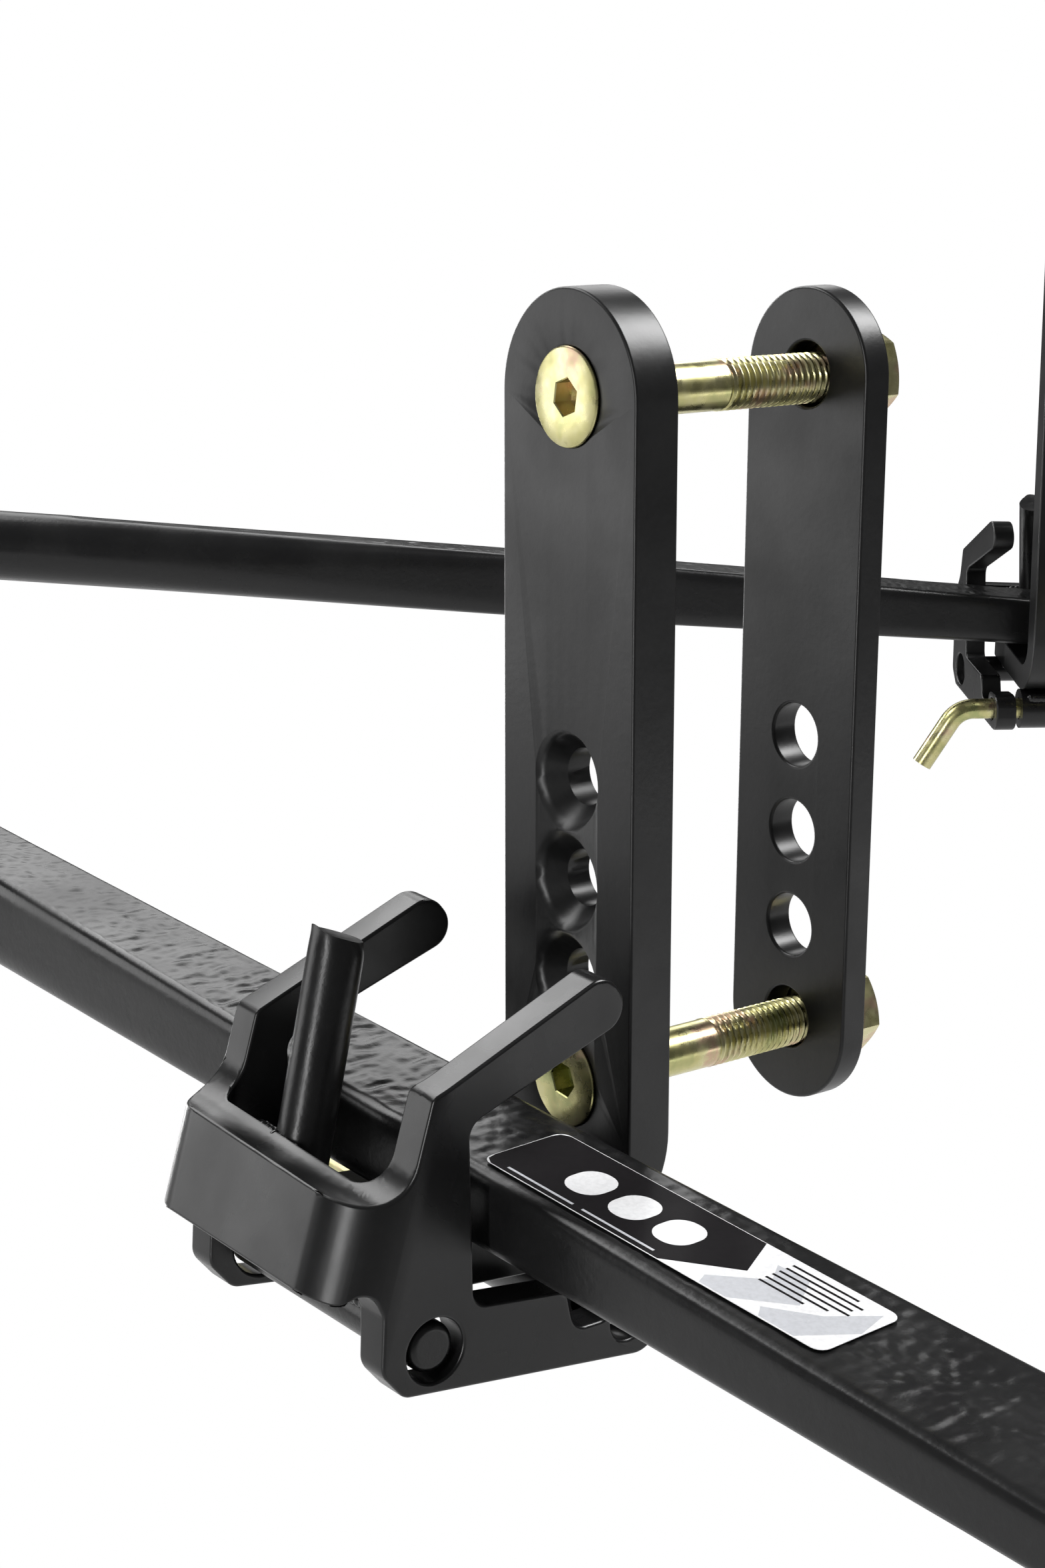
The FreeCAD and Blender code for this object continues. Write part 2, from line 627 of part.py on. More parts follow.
def head_bolt(z):
    outside = cheek_face() + WASHER_THICK + 2 * SKIN
    start = V(HEAD_BOLT_X, -outside, z)
    head = chamfered_hex(HEAD_BOLT_FLATS, start, -Y_AXIS, 12.0, 30.0)
    body = head.fuse(rod(start, V(HEAD_BOLT_X, outside + 22.0, z), HEAD_BOLT_RADIUS))
    return one_solid(body)


def head_nut(z):
    start = V(HEAD_BOLT_X, cheek_face() + WASHER_THICK + 2 * SKIN, z)
    nut = chamfered_hex(HEAD_BOLT_FLATS, start, Y_AXIS, 16.0, 30.0)
    return one_solid(nut.cut(rod(start - Y_AXIS, start + Y_AXIS * 20, HEAD_BOLT_RADIUS + NUT_FIT)))


def head_washer(z, direction):
    start = V(HEAD_BOLT_X, direction * (cheek_face() + SKIN), z)
    return tube(start, start + Y_AXIS * (direction * WASHER_THICK), 18.5, HEAD_BOLT_RADIUS + 0.4)


def tilt_block():
    """The cross bar between the cheeks that carries the tilt pin."""
    half = SHANK_HALF + CHEEK_GAP - SKIN
    body = Part.makeBox(18, 2 * half, 34, V(262, -half, -64))
    return one_solid(body.cut(rod(V(255, 0, TILT_Z - 15), V(290, 0, TILT_Z - 15), TILT_PIN_RADIUS + 0.2)))


def tilt_pin():
    """A rivet-shaped pin; its head bears on the upright, and washers under the head set the tilt."""
    z = TILT_Z - 15
    head = rod(V(UPRIGHT_REAR + 0.3, 0, z), V(UPRIGHT_REAR + 9, 0, z), 15.0)
    return one_solid(head.fuse(rod(V(UPRIGHT_REAR + 9, 0, z), V(292, 0, z), TILT_PIN_RADIUS)))


def tilt_washers():
    z = TILT_Z - 15
    count = 7
    start = UPRIGHT_REAR + 9
    pitch = (262.0 - start) / count
    rings = []
    for k in range(count):
        low = V(start + k * pitch + SKIN, 0, z)
        rings.append(tube(low, low + X_AXIS * (pitch - 2 * SKIN), 15.0, TILT_PIN_RADIUS + 0.3))
    return rings


# ---- write every node ----
def write_head():
    save(drawbar_shank(), "drawbar_shank")
    save(drawbar_upright(), "drawbar_upright")
    save(group(drawbar_gussets()), "drawbar_gussets")
    for side in SIDES:
        save(on_side(cheek(), side), "head_cheek_" + side)
        save(on_side(bar_socket(), side), "bar_socket_" + side)
    save(platform(), "ball_platform")
    save(tow_ball(), "tow_ball")
    save(ball_washer(), "ball_lock_washer")
    save(ball_nut(), "ball_nut")
    heights = (-HEAD_BOLT_Z, HEAD_BOLT_Z)
    save(group([head_bolt(z) for z in heights]), "head_bolts")
    save(group([head_nut(z) for z in heights]), "head_bolt_nuts")
    save(group([head_washer(z, d) for z in heights for d in (-1, 1)]), "head_bolt_washers")
    save(tilt_block(), "tilt_block")
    save(tilt_pin(), "tilt_pin")
    save(group(tilt_washers()), "tilt_washers")


def write_bar(side):
    save(on_side(spring_bar(), side), "spring_bar_" + side)
    save(on_side(bar_label(), side), "bar_label_" + side)
    save(on_side(thrust_washer(), side), "thrust_washer_" + side)
    save(on_side(bar_clip(), side), "bar_clip_" + side)


def write_bracket(side):
    pieces = {
        "hanger_plate": hanger_plate(),
        "backing_plate": backing_plate(),
        "clamp_bolts": group([clamp_bolt(z) for z in bolt_heights()]),
        "clamp_nuts": group([clamp_nut(z) for z in bolt_heights()]),
        "hinge_rod": hinge_rod(),
        "lock_pin_tube": lock_pin_tube(),
        "lock_pin": lock_pin(PIN_DRAWN[side]),
        "yoke": yoke(),
        "lever_post": lever_post(),
    }
    for name, shape in pieces.items():
        save(place_bracket(shape, side), name + "_" + side)


os.makedirs("parts", exist_ok=True)
write_head()
for which in SIDES:
    write_bar(which)
    write_bracket(which)
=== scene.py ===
import json
import math

import bmesh
import bpy
from mathutils import Matrix, Vector, noise


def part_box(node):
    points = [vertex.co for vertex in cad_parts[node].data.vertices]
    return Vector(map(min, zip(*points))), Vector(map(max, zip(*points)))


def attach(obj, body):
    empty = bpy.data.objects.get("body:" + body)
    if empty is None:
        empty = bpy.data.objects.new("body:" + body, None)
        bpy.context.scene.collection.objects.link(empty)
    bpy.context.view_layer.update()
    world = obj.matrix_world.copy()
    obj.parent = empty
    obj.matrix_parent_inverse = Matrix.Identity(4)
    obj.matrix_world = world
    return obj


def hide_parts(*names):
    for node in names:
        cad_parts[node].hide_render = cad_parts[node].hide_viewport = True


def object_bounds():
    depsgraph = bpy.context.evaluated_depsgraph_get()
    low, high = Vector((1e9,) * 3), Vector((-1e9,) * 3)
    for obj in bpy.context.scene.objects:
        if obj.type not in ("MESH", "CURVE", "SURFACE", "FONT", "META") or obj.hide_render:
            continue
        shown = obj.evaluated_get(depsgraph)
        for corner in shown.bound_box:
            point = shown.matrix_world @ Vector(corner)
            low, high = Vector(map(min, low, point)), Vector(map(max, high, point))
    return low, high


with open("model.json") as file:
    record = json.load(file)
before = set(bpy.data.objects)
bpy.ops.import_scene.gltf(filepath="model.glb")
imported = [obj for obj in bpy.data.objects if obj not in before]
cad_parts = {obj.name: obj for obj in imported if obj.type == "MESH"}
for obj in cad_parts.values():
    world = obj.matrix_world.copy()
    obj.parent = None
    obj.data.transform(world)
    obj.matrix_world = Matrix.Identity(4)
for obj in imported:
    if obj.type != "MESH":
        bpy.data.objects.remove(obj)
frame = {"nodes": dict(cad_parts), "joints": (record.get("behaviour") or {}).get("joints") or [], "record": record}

# Lengths are in millimetres and are turned into metres by MM or by a bracket's or bar's matrix.
MM = 0.001
SIDES = ("left", "right")
CAD_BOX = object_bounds()

# ---- camera, placed from the left bracket's top bolt ----
CAMERA_OFFSET = Vector((513.2, -395.1, 68.7))
CAMERA_HEADING = math.radians(22.24)
CAMERA_PITCH = math.radians(-14.01)
CAMERA_LENS = 95.4

# ---- sizes repeated from the model ----
RAIL_FACE = Vector((15.0, 12.7, -60.0))
BAR_CONTACT = Vector((0.0, -36.9, -186.5))
BAR_FALL = math.radians(3.72)
FRONT_FALL = math.radians(4.59)
BAR_REACH = 680.0
BAR_TAIL = 240.0
BAR_RADIUS = 15.9
BAR_BEND = 45.0
BAR_STUB = 8.0
ROUND_TO = -470.0
TAPER_FROM = -230.0
HOLE_HEIGHTS = (0.0, -91.9, -117.3, -142.7, -168.1)
BOLT_HEIGHTS = (HOLE_HEIGHTS[0], HOLE_HEIGHTS[-1])
SINK_RADIUS = 12.35
YOKE_FACE = (-88.0, -167.0)
YOKE_TILT = math.radians(16.5)
YOKE_THICK = 9.5
POST_RADIUS = 6.8
POST_FOOT = -24.0
POST_TOP = 52.0
POST_SHIFT = -6.8
POST_LEAN = math.radians(5.8)
LABEL_START = 30.0
LABEL_LENGTH = 106.0
LABEL_WIDTH = 25.0
LABEL_SHIFT = -1.9
BAR_WIDTH = 34.8
WIDTH_GROWTH = 0.0407
BAR_HEIGHT = 22.2
HEIGHT_LOSS = 0.0306
UPRIGHT_DEPTH = 44.0
SHANK_HALF = 25.4

# ---- sizes that only this script has ----
SINK_MARGIN = 0.1
BEVEL_FROM = math.radians(35.0)
THREAD_PITCH = 1.954
THREAD_CREST = 6.35
THREAD_DEPTH = 1.0
THREAD_FROM = 45.0
THREAD_TO = 97.5
SHEARED_LENGTH = 7.0
FLOOR_DROP = 0.3
FLOOR_HALF = 30.0


# ---- frames ----
def bracket_matrix(side):
    """Turns bracket millimetres, about the top bolt, into the row frame; the right side is mirrored."""
    mounts = {mount["name"]: mount for mount in frame["record"]["mounts"]}
    joints = {joint["name"]: joint for joint in frame["joints"]}
    x_axis = -Vector(joints["lock_pin_pull_" + side]["axis"])
    y_axis = Vector(mounts["rail_face_" + side]["axis"])
    z_axis = Vector((0, 0, 1))
    matrix = Matrix((x_axis, y_axis, z_axis)).transposed().to_4x4() @ Matrix.Scale(MM, 4)
    matrix.translation = Vector(mounts["rail_face_" + side]["pos_m"]) - matrix.to_3x3() @ RAIL_FACE
    return matrix


def bar_matrix(side):
    """Turns bar millimetres (along, across towards the rail, up) into the row frame."""
    joints = {joint["name"]: joint for joint in frame["joints"]}
    along = Vector(joints["bracket_slide_" + side]["axis"])
    sign = -1 if side == "right" else 1
    across = Vector((-along.y, along.x, 0)).normalized() * sign
    up = along.cross(across) * sign
    matrix = Matrix((along, across, up)).transposed().to_4x4() @ Matrix.Scale(MM, 4)
    matrix.translation = bracket_matrix(side) @ BAR_CONTACT
    return matrix


BRACKET = {side: bracket_matrix(side) for side in SIDES}
BAR = {side: bar_matrix(side) for side in SIDES}
WORLD = Matrix.Scale(MM, 4)
LIFT_TO_PIVOT = -(BRACKET["left"] @ BAR_CONTACT).z / MM


# ---- mesh helpers ----
def add_mesh(name, verts, faces, matrix, body, material, smooth_angle=40.0):
    """Makes a piece from points given in the matrix's own millimetres."""
    mesh = bpy.data.meshes.new(name)
    if matrix.determinant() < 0:
        faces = [tuple(reversed(face)) for face in faces]
    mesh.from_pydata([matrix @ Vector(v) for v in verts], [], faces)
    return add_object(name, mesh, body, material, smooth_angle)


def add_object(name, mesh, body, material, smooth_angle):
    """Puts a mesh in the scene as a piece that rides on a body."""
    mesh.shade_smooth()
    mesh.set_sharp_from_angle(angle=math.radians(smooth_angle))
    mesh.materials.clear()
    mesh.materials.append(material)
    piece = bpy.data.objects.new(name, mesh)
    bpy.context.scene.collection.objects.link(piece)
    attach(piece, body)
    return piece


def loft(rings):
    """Joins rings of equal length into one skin, with a flat cap at each end."""
    count = len(rings[0])
    verts = [point for ring in rings for point in ring]
    faces = []
    for k in range(len(rings) - 1):
        low = k * count
        for i in range(count):
            j = (i + 1) % count
            faces.append((low + i, low + j, low + count + j, low + count + i))
    faces.append(tuple(reversed(range(count))))
    faces.append(tuple(range(len(verts) - count, len(verts))))
    return verts, faces


def in_countersink(side):
    """Tells whether an edge lies in one of the hanger plate's countersunk holes, which stay crisp."""
    back = BRACKET[side].inverted()

    def near_hole(spot):
        return min(math.hypot(spot.x, spot.z - z) for z in HOLE_HEIGHTS) < SINK_RADIUS + SINK_MARGIN

    def inside(edge):
        return all(near_hole(back @ vert.co) for vert in edge.verts)
    return inside


def softened(node, body, material, width, keep_sharp=None):
    """Replaces a CAD node by a copy whose sharp edges are rounded as a cut and coated plate's are."""
    mesh = frame["nodes"][node].data.copy()
    bm = bmesh.new()
    bm.from_mesh(mesh)
    bmesh.ops.remove_doubles(bm, verts=bm.verts, dist=1e-6)
    bmesh.ops.dissolve_limit(bm, angle_limit=math.radians(0.4), verts=bm.verts, edges=bm.edges)
    sharp = [edge for edge in bm.edges if len(edge.link_faces) == 2
             and edge.calc_face_angle() > BEVEL_FROM
             and not (keep_sharp and keep_sharp(edge))]
    bmesh.ops.bevel(bm, geom=sharp, offset=width * MM, segments=3, profile=0.5, affect="EDGES",
                    clamp_overlap=False)
    bmesh.ops.triangulate(bm, faces=[face for face in bm.faces if len(face.verts) > 4])
    bm.to_mesh(mesh)
    bm.free()
    piece = add_object(node + "_finished", mesh, body, material, 38.0)
    piece.modifiers.new("even_normals", "WEIGHTED_NORMAL").keep_sharp = True
    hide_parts(node)
    return piece


# ---- materials ----
class Look:
    """A small helper that adds nodes to one material."""

    def __init__(self, name):
        self.material = bpy.data.materials.new(name)
        self.material.use_nodes = True
        self.tree = self.material.node_tree
        self.shader = self.tree.nodes["Principled BSDF"]
        self.place = self.node("ShaderNodeTexCoord").outputs["Object"]

    def node(self, kind, **settings):
        made = self.tree.nodes.new(kind)
        for key, value in settings.items():
            setattr(made, key, value)
        return made

    def link(self, source, target):
        self.tree.links.new(source, target)

    def noise(self, size, detail=3.0, rough=0.5, place=None):
        """Noise whose lumps are about size millimetres across."""
        made = self.node("ShaderNodeTexNoise")
        made.inputs["Scale"].default_value = 1.0 / (size * MM)
        made.inputs["Detail"].default_value = detail
        made.inputs["Roughness"].default_value = rough
        self.link(place or self.place, made.inputs["Vector"])
        return made.outputs["Fac"]

    def ramp(self, source, stops, target):
        made = self.node("ShaderNodeValToRGB")
        while len(made.color_ramp.elements) < len(stops):
            made.color_ramp.elements.new(0.5)
        for element, (position, colour) in zip(made.color_ramp.elements, stops):
            element.position = position
            element.color = (*colour, 1.0)
        self.link(source, made.inputs["Fac"])
        self.link(made.outputs["Color"], target)

    def levels(self, source, low, high, target):
        """Spreads a noise's middle range over low to high."""
        made = self.node("ShaderNodeMapRange")
        made.inputs["From Min"].default_value = 0.3
        made.inputs["From Max"].default_value = 0.7
        made.inputs["To Min"].default_value = low
        made.inputs["To Max"].default_value = high
        self.link(source, made.inputs["Value"])
        self.link(made.outputs["Result"], target)

    def bump(self, heights):
        """heights is a list of (source, depth in millimetres)."""
        last = None
        for source, depth in heights:
            made = self.node("ShaderNodeBump")
            made.inputs["Strength"].default_value = 1.0
            made.inputs["Distance"].default_value = depth * MM
            self.link(source, made.inputs["Height"])
            if last is not None:
                self.link(last.outputs["Normal"], made.inputs["Normal"])
            last = made
        self.link(last.outputs["Normal"], self.shader.inputs["Normal"])

    def set(self, **values):
        for key, value in values.items():
            self.shader.inputs[key.replace("_", " ")].default_value = value


def grey(level):
    """A grey that leans very slightly to blue."""
    return (level, level, level * 1.04)


def powder_coat(name, rough, peel=0.012, pits=0.0):
    """Black powder coat: a faint orange peel, uneven gloss and a few pale specks of dust."""
    look = Look(name)
    look.set(Metallic=0.0, Specular_IOR_Level=0.42)
    patches = look.noise(28.0, 4.0)
    look.ramp(look.noise(2.2, 5.0, 0.7),
              [(0.0, grey(0.004)), (0.6, grey(0.007)), (0.80, grey(0.012)), (0.86, grey(0.08))],
              look.shader.inputs["Base Color"])
    look.levels(patches, rough - 0.05, rough + 0.07, look.shader.inputs["Roughness"])
    heights = [(look.noise(1.6, 2.0), peel), (look.noise(9.0, 2.0), peel * 2.5)]
    if pits:
        heights.append((look.noise(3.2, 4.0, 0.65), pits))
    look.bump(heights)
    return look.material


def yellow_zinc(name):
    """Yellow chromate over zinc: a gold plate that drifts to pink and green."""
    look = Look(name)
    look.set(Metallic=1.0, Coat_Weight=0.2, Coat_Roughness=0.1)
    stops = [(0.30, (0.40, 0.42, 0.18)), (0.43, (0.58, 0.54, 0.25)), (0.55, (0.66, 0.62, 0.34)),
             (0.64, (0.62, 0.44, 0.30)), (0.74, (0.48, 0.50, 0.25))]
    look.ramp(look.noise(13.0, 3.0, 0.6), stops, look.shader.inputs["Base Color"])
    look.levels(look.noise(4.0, 5.0), 0.20, 0.38, look.shader.inputs["Roughness"])
    look.bump([(look.noise(0.7, 3.0), 0.004), (look.noise(6.0, 2.0), 0.02)])
    return look.material


def plain_zinc(name):
    """Clear zinc plate, dull and a little cloudy."""
    look = Look(name)
    look.set(Metallic=1.0)
    look.ramp(look.noise(9.0, 4.0), [(0.3, (0.42, 0.44, 0.47)), (0.7, (0.66, 0.67, 0.69))],
              look.shader.inputs["Base Color"])
    look.levels(look.noise(3.0, 5.0), 0.28, 0.48, look.shader.inputs["Roughness"])
    look.bump([(look.noise(0.8, 3.0), 0.006)])
    return look.material


def ball_chrome(name):
    """Polished plate with the faint turning marks of a machined ball."""
    look = Look(name)
    look.set(Metallic=1.0)
    stretch = look.node("ShaderNodeMapping")
    stretch.inputs["Scale"].default_value = (0.05, 0.05, 1.0)
    look.link(look.place, stretch.inputs["Vector"])
    rings = look.noise(0.9, 2.0, 0.5, stretch.outputs["Vector"])
    look.ramp(look.noise(20.0), [(0.3, (0.66, 0.67, 0.69)), (0.7, (0.80, 0.80, 0.81))],
              look.shader.inputs["Base Color"])
    look.levels(look.noise(5.0, 4.0), 0.06, 0.16, look.shader.inputs["Roughness"])
    look.bump([(rings, 0.003)])
    return look.material


def vinyl(name, colour, rough=0.32, coat=0.5):
    """Printed vinyl: an even ink with a slight ripple from the surface under it."""
    look = Look(name)
    look.set(Metallic=0.0, Coat_Weight=coat, Coat_Roughness=0.15, Specular_IOR_Level=0.5 * coat)
    shade = tuple(channel * 0.9 for channel in colour)
    look.ramp(look.noise(1.2, 4.0, 0.6), [(0.35, shade), (0.6, colour)], look.shader.inputs["Base Color"])
    look.levels(look.noise(12.0), rough - 0.05, rough + 0.08, look.shader.inputs["Roughness"])
    look.bump([(look.noise(7.0, 2.0), 0.05)])
    return look.material


COAT = powder_coat("black_coat", 0.28)
PLATE_COAT = powder_coat("black_coat_plate", 0.34, 0.016, 0.02)
FORGED_COAT = powder_coat("black_coat_forged", 0.27, 0.02, 0.05)
ROD_COAT = powder_coat("black_coat_rod", 0.29, 0.02, 0.08)
WELD_COAT = powder_coat("black_coat_weld", 0.18, 0.01, 0.05)
GOLD = yellow_zinc("yellow_zinc")
ZINC = plain_zinc("plain_zinc")
CHROME = ball_chrome("ball_chrome")
LABEL_WHITE = vinyl("label_white", (0.84, 0.84, 0.85))
LABEL_GREY = vinyl("label_grey", (0.56, 0.57, 0.60))
LABEL_BLACK = vinyl("label_black", (0.012, 0.011, 0.012), 0.50, 0.05)


# ---- spring bars ----
def bar_ring(along, lift, tilt, half_width, half_height, power, count=120):
    """One ring of the bar's skin; power 2 is a circle and larger powers are squarer."""
    ring = []
    for k in range(count):
        angle = 2 * math.pi * k / count
        c = math.cos(angle)
        s = math.sin(angle)
        reach = (abs(c / half_width) ** power + abs(s / half_height) ** power) ** (-1.0 / power)
        ring.append((along - s * reach * math.sin(tilt), c * reach, lift + s * reach * math.cos(tilt)))
    return ring


def hammered(point, top):
    """Sinks the top of the bar a little where the hammer or the rollers left their marks."""
    s, across, up = point
    flat = max(0.0, min(1.0, (up - top + 0.6) / 0.5))
    if flat == 0.0 or s < ROUND_TO:
        return point
    dents = noise.noise(Vector((s / 8.0, across / 6.0, 3.0)))
    pebbles = noise.noise(Vector((s / 2.8, across / 2.6, 7.0)))
    ripples = noise.noise(Vector((s / 2.4 + 0.8 * dents, across / 9.0, 11.0)))
    near_yoke = math.exp(-((s + 60.0) / 90.0) ** 2)
    dented = 0.12 * (dents + 1)
    pebbled = 0.30 * (1 - 0.6 * near_yoke) * (pebbles + 1)
    rippled = 0.48 * near_yoke * (ripples + 1)
    return (s, across, up - (dented + pebbled + rippled) * flat)


def front_spot(s, up):
    """A point of the bar's front length, which falls a little more steeply, in bar millimetres."""
    turn = FRONT_FALL - BAR_FALL
    ahead = s - TAPER_FROM
    return Vector((TAPER_FROM + ahead * math.cos(turn) + up * math.sin(turn),
                   -ahead * math.sin(turn) + up * math.cos(turn)))


def bar_rings():
    """The whole bar from the top of its stub, round the elbow and out to the tail."""
    heading = Vector((math.cos(BAR_FALL), math.sin(BAR_FALL)))
    vertical = Vector((-math.sin(BAR_FALL), math.cos(BAR_FALL)))
    pivot = heading * -BAR_REACH + vertical * LIFT_TO_PIVOT
    axis = front_spot(TAPER_FROM, BAR_RADIUS)
    ahead = (axis - pivot).dot(heading)
    axis_height = (axis - pivot).dot(vertical) + ahead * math.tan(FRONT_FALL)
    bend_height = axis_height - BAR_BEND * math.tan(FRONT_FALL) + BAR_BEND / math.cos(FRONT_FALL)
    centre = pivot + vertical * bend_height + heading * BAR_BEND
    quarter = math.pi / 2
    rings = []
    stub = ((BAR_STUB, 14.1), (BAR_STUB - 0.4, 15.0), (BAR_STUB - 1.5, BAR_RADIUS), (-40.0, BAR_RADIUS))
    for height, radius in stub:
        spot = pivot + vertical * height
        rings.append(bar_ring(spot.x, spot.y, BAR_FALL - quarter, radius, radius, 2))
    steps = 20
    for k in range(steps + 1):
        turn = (quarter - FRONT_FALL) * k / steps
        spot = centre - heading * (BAR_BEND * math.cos(turn)) - vertical * (BAR_BEND * math.sin(turn))
        rings.append(bar_ring(spot.x, spot.y, turn - quarter + BAR_FALL, BAR_RADIUS, BAR_RADIUS, 2))
    s = centre.x + 8.0
    while s < BAR_TAIL - 2.0:
        rings.append(straight_ring(s))
        s += 8.0 if s < -360 else 0.9
    for short, inset in ((1.4, 0.0), (0.4, 0.4), (0.0, 1.2)):
        rings.append(straight_ring(BAR_TAIL - short, inset))
    return rings


def straight_ring(s, inset=0.0):
    """One ring of the straight length, which runs from round to flat between ROUND_TO and TAPER_FROM."""
    taper = max(0.0, min(1.0, (s - ROUND_TO) / (TAPER_FROM - ROUND_TO)))
    flat_width = BAR_WIDTH + WIDTH_GROWTH * max(s, TAPER_FROM)
    flat_height = BAR_HEIGHT - HEIGHT_LOSS * max(s, TAPER_FROM)
    width = 2 * BAR_RADIUS * (1 - taper) + flat_width * taper
    height = 2 * BAR_RADIUS * (1 - taper) + flat_height * taper
    power = 2.0 + 5.0 * taper ** 2
    if s < TAPER_FROM:
        spot = front_spot(s, height / 2)
        tilt = BAR_FALL - FRONT_FALL
    else:
        spot = Vector((s, height / 2))
        tilt = 0.0
    ring = bar_ring(spot.x, spot.y, tilt, width / 2 - inset, height / 2 - inset, power)
    return [hammered(point, spot.y + height / 2) for point in ring]


def make_bar(side):
    """The forged bar in one skin, from its stub to its tail."""
    verts, faces = loft(bar_rings())
    faces = [tuple(reversed(face)) for face in faces]
    piece = add_mesh("spring_bar_skin_" + side, verts, faces, BAR[side], "bar_" + side, FORGED_COAT)
    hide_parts("spring_bar_" + side)


def label_panel(name, side, points, lift, thick, material):
    """A flat printed shape on the bar's label; points are (along, across) from the label's corner."""
    top = BAR_HEIGHT - HEIGHT_LOSS * LABEL_START
    base = Vector((LABEL_START, LABEL_SHIFT - LABEL_WIDTH / 2, top + lift))
    low = [base + Vector((a, b, -HEIGHT_LOSS * a)) for a, b in points]
    high = [point + Vector((0, 0, thick)) for point in low]
    verts, faces = loft([low, high])
    return add_mesh(name + "_" + side, verts, faces, BAR[side], "bar_" + side, material)


def rounded_box(low, high, radius=3.0, steps=5):
    """Corner points of a rectangle with round corners, anticlockwise."""
    points = []
    centres = [(high[0], high[1], 0), (low[0], high[1], 1), (low[0], low[1], 2), (high[0], low[1], 3)]
    for x, y, quarter in centres:
        cx = x - radius if x == high[0] else x + radius
        cy = y - radius if y == high[1] else y + radius
        for k in range(steps + 1):
            angle = (quarter + k / steps) * math.pi / 2
            points.append((cx + radius * math.cos(angle), cy + radius * math.sin(angle)))
    return points


def sharp_box(low, high):
    """Corner points of a rectangle, anticlockwise."""
    return [low, (high[0], low[1]), high, (low[0], high[1])]


def make_label(side):
    """A plain sticker with no lettering: dots, rules and bands stand where the real one is printed."""
    length = LABEL_LENGTH
    width = LABEL_WIDTH
    base = label_panel("label_base", side, rounded_box((0, 0), (length, width)), 0.02, 0.12, LABEL_WHITE)
    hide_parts("bar_label_" + side)
    dark = [(3, 0.2), (58, 0.2), (73, 12.4), (66.7, width - 0.2), (3, width - 0.2),
            (0.8, width - 1.5), (0.2, width - 4), (0.2, 4), (0.8, 1.5)]
    label_panel("label_dark", side, dark, 0.14, 0.02, LABEL_BLACK)
    bands = [[(69, 3.6), (70.5, 0.4), (78.6, 0.4), (90, 10.7), (84, 20.0), (74.9, 19.8), (78.9, 14)],
             [(85.5, 3.6), (88, 0.4), (98, 0.4), (105.6, 12.7), (103.1, 22.1), (96, 11.5)]]
    for k, band in enumerate(bands):
        label_panel("label_band_%d" % k, side, band, 0.14, 0.02, LABEL_GREY)
    for k, middle in enumerate((23.6, 38.0, 52.2)):
        dot = rounded_box((middle - 5.4, 6.4), (middle + 5.4, 18.6), 5.0, 7)
        label_panel("label_dot_%d" % k, side, dot, 0.16, 0.02, LABEL_WHITE)
    for k, (start, finish) in enumerate(((7, 29), (32, 55))):
        rule = sharp_box((start, 1.7), (finish, 2.4))
        label_panel("label_rule_%d" % k, side, rule, 0.16, 0.02, LABEL_GREY)
    for k, finish in enumerate((96, 99, 98, 99, 95, 90)):
        across = 22.0 - 2.1 * k
        row = sharp_box((77, across), (finish, across + 0.7))
        label_panel("label_row_%d" % k, side, row, 0.16, 0.02, LABEL_BLACK)


# ---- bolts ----
def hexagon(flats, turn):
    """Radius of a hexagon at each angle."""
    sector = math.pi / 3

    def radius(angle):
        return flats / 2 / math.cos((angle - turn) % sector - sector / 2)
    return radius


def turned(profile, count, axis_point):
    """Rings round the bracket's y axis; each profile entry is (y, radius or function of the angle)."""
    rings = []
    for y, radius in profile:
        ring = []
        for k in range(count):
            angle = 2 * math.pi * k / count
            r = radius(angle) if callable(radius) else radius
            ring.append((axis_point[0] + r * math.cos(angle), y, axis_point[1] + r * math.sin(angle)))
        rings.append(ring)
    return rings


def thread_radius(y):
    """A 60 degree thread with flat crests that fades in over its first turn and is chamfered at its end."""
    start = max(0.0, min(1.0, (y - THREAD_FROM) / THREAD_PITCH))
    chamfer = max(0.0, min(1.0, (THREAD_TO - y) / 0.8))

    def radius(angle):
        phase = (y / THREAD_PITCH - angle / (2 * math.pi)) % 1.0
        groove = max(0.0, min(1.0, 1.25 - 3.2 * abs(phase - 0.5)))
        return THREAD_CREST - THREAD_DEPTH * groove * start * chamfer - (1 - chamfer) * THREAD_DEPTH
    return radius


def bolt_profile(turn):
    """A flat-head socket bolt from the bottom of its socket, over its head and down to the thread's end."""
    profile = [(4.6, 0.3), (4.2, hexagon(7.9, turn)), (-0.5, hexagon(7.94, turn)),
               (-0.8, hexagon(8.4, turn)), (-0.8, 11.4), (-0.7, 11.7), (-0.4, 11.9), (0.0, 11.8),
               (6.4, 6.3), (7.4, 6.2), (THREAD_FROM - 0.6, 6.2), (THREAD_FROM, 6.3)]
    y = THREAD_FROM
    while y < THREAD_TO:
        profile.append((y, thread_radius(y)))
        y += THREAD_PITCH / 9
    return profile + [(THREAD_TO, 5.3), (THREAD_TO, 0.4)]


def make_bolts(side):
    """Both bolts of one bracket as one piece, each turned differently as they were tightened."""
    verts = []
    faces = []
    for number, z in enumerate(BOLT_HEIGHTS):
        profile = bolt_profile(math.radians(20 + 100 / 3 * number))
        part, skin = loft(turned(profile, 54, (0.0, z)))
        shift = len(verts)
        verts += part
        faces += [tuple(shift + i for i in reversed(face)) for face in skin]
    piece = add_mesh("clamp_bolts_threaded_" + side, verts, faces, BRACKET[side], "bracket_" + side,
                     GOLD, 32.0)
    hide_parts("clamp_bolts_" + side)


